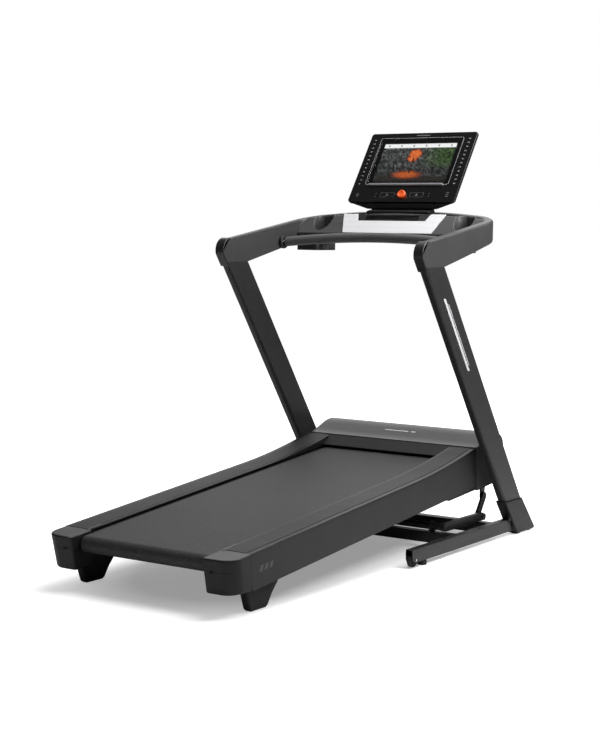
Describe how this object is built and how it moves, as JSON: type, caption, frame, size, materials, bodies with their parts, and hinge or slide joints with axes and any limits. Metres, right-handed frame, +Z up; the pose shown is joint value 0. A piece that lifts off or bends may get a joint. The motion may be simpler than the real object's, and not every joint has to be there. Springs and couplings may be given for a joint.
{
  "type": "treadmill",
  "caption": "Folding motorised treadmill with raked uprights, looped handrails, a fan console, a tilting touch display and a powered incline.",
  "frame": {"origin": "on the floor at the centre of the footprint", "axes": "+X to the user's right, +Y forward to the motor hood, +Z up"},
  "size_m": [0.888, 1.8941, 1.5354],
  "materials": {
    "frame_steel": "satin powder coat",
    "upright_grey": "satin metallic powder coat",
    "shell_graphite": "fine moulded grain",
    "dark_plastic": "fine moulded grain",
    "cover_grey": "fine moulded grain",
    "hood_grey": "satin paint",
    "silver_plastic": "satin paint with fine dots",
    "gloss_black": "polished",
    "screen_glass": "polished",
    "screen_picture": "lit display",
    "ledge_grey": "satin",
    "key_black": "satin",
    "key_orange": "satin",
    "grip_foam": "closed-cell foam",
    "black_rubber": "matt",
    "belt_rubber": "fine woven face",
    "strip_rubber": "ribbed",
    "deck_wood": "waxed board",
    "bright_steel": "turned",
    "motor_paint": "gloss",
    "circuit_green": "solder mask"
  },
  "bodies": {
    "base": {"base_legs": "frame_steel", "wheel_axles": "bright_steel", "base_cross_tubes": "frame_steel", "floor_pads": "black_rubber", "lift_pivot_ears": "frame_steel", "drive_clevis": "frame_steel", "uprights": "upright_grey", "boots": "dark_plastic", "boot_bolts": "bright_steel", "handrail_shell": "shell_graphite", "handrail_tubes": "frame_steel", "grip_bar_core": "frame_steel", "grip_bar_foam": "grip_foam", "grip_sockets": "dark_plastic", "arm_caps": "dark_plastic", "console_tray": "cover_grey", "silver_panel": "silver_plastic", "fan_grille": "dark_plastic", "fan_housing": "dark_plastic", "display_bracket": "dark_plastic", "display_hinge_pin": "bright_steel"},
    "left_wheel": {"left_transport_wheel": "black_rubber"},
    "right_wheel": {"right_transport_wheel": "black_rubber"},
    "fan": {"fan_rotor": "dark_plastic"},
    "display": {"display_bezel": "gloss_black", "display_rear_shell": "dark_plastic", "display_glass": "screen_glass", "display_panel": "screen_picture", "display_ledge": "ledge_grey", "display_board": "circuit_green"},
    "start_key": {"start_key": "key_black"},
    "stop_key": {"stop_key": "key_black"},
    "safety_key": {"safety_key": "key_orange"},
    "lift_frame": {"lift_frame": "frame_steel", "deck_pivot_pins": "bright_steel"},
    "deck_carriage": {"carriage_links": "frame_steel"},
    "drive_housing": {"incline_drive_housing": "motor_paint"},
    "drive_screw": {"incline_drive_screw": "bright_steel"},
    "deck": {"foot_rails": "cover_grey", "side_covers": "cover_grey", "end_caps": "cover_grey", "foot_strips": "strip_rubber", "end_cap_screws": "bright_steel", "rear_feet": "black_rubber", "walking_belt": "belt_rubber", "deck_board": "deck_wood", "deck_cushions": "black_rubber", "deck_side_tubes": "frame_steel", "deck_cross_members": "frame_steel", "pivot_plates": "frame_steel", "roller_brackets": "frame_steel", "drive_motor": "motor_paint", "drive_belt": "black_rubber", "controller_board": "circuit_green", "motor_hood": "hood_grey", "hood_fascia": "dark_plastic", "belly_pan": "dark_plastic"},
    "front_roller": {"front_roller": "bright_steel"},
    "rear_roller": {"rear_roller": "bright_steel"},
    "motor_flywheel": {"motor_flywheel": "bright_steel"}
  },
  "joints": [
    {"name": "incline_lift", "type": "hinge", "parent": "base", "child": "lift_frame", "pos_m": [0, 0.388, 0.08], "axis": [1, 0, 0], "range_deg": [0, 35]},
    {"name": "carriage_level", "type": "hinge", "parent": "lift_frame", "child": "deck_carriage", "pos_m": [0, 0.672, 0.08], "axis": [1, 0, 0], "range_deg": [-28.5, 0]},
    {"name": "deck_fold", "type": "hinge", "parent": "deck_carriage", "child": "deck", "pos_m": [0, 0.722, 0.15], "axis": [-1, 0, 0], "range_deg": [0, 60]},
    {"name": "drive_swing", "type": "hinge", "parent": "base", "child": "drive_housing", "pos_m": [0, 0.682, 0.096], "axis": [1, 0, 0], "range_deg": [0, 3.6]},
    {"name": "drive_extend", "type": "slide", "parent": "drive_housing", "child": "drive_screw", "axis": [0, -0.9901, 0.1402], "range_m": [0, 0.0301]},
    {"name": "display_tilt", "type": "hinge", "parent": "base", "child": "display", "pos_m": [0, 0.645, 1.244], "axis": [1, 0, 0], "range_deg": [-10, 20]},
    {"name": "start_press", "type": "slide", "parent": "display", "child": "start_key", "axis": [0, 0.8261, -0.5635], "range_m": [0, 0.0012], "stiffness_N_per_m": 800},
    {"name": "stop_press", "type": "slide", "parent": "display", "child": "stop_key", "axis": [0, 0.8261, -0.5635], "range_m": [0, 0.0012], "stiffness_N_per_m": 800},
    {"name": "safety_pull", "type": "slide", "parent": "display", "child": "safety_key", "axis": [0, -0.8261, 0.5635], "range_m": [0, 0.04]},
    {"name": "left_wheel_spin", "type": "hinge", "parent": "base", "child": "left_wheel", "pos_m": [-0.417, 0.044, 0.0275], "axis": [1, 0, 0], "continuous": true},
    {"name": "right_wheel_spin", "type": "hinge", "parent": "base", "child": "right_wheel", "pos_m": [0.417, 0.044, 0.0275], "axis": [1, 0, 0], "continuous": true},
    {"name": "fan_spin", "type": "hinge", "parent": "base", "child": "fan", "pos_m": [0, 0.598, 1.176], "axis": [1, 0, 0], "continuous": true},
    {"name": "front_roller_spin", "type": "hinge", "parent": "deck", "child": "front_roller", "pos_m": [0, 0.59705, 0.28914], "axis": [1, 0, 0], "continuous": true},
    {"name": "rear_roller_spin", "type": "hinge", "parent": "deck", "child": "rear_roller", "pos_m": [0, -0.88161, 0.15197], "axis": [1, 0, 0], "continuous": true},
    {"name": "motor_spin", "type": "hinge", "parent": "deck", "child": "motor_flywheel", "pos_m": [0, 0.69134, 0.24707], "axis": [1, 0, 0], "continuous": true}
  ],
  "couplings": [
    {"joint": "carriage_level", "follows": "incline_lift", "ratio": -0.812},
    {"joint": "drive_swing", "follows": "incline_lift", "ratio": 0.102},
    {"joint": "drive_extend", "follows": "incline_lift", "m_per_rad": 0.0491},
    {"joint": "rear_roller_spin", "follows": "front_roller_spin", "ratio": 1},
    {"joint": "motor_spin", "follows": "front_roller_spin", "ratio": 2}
  ]
}
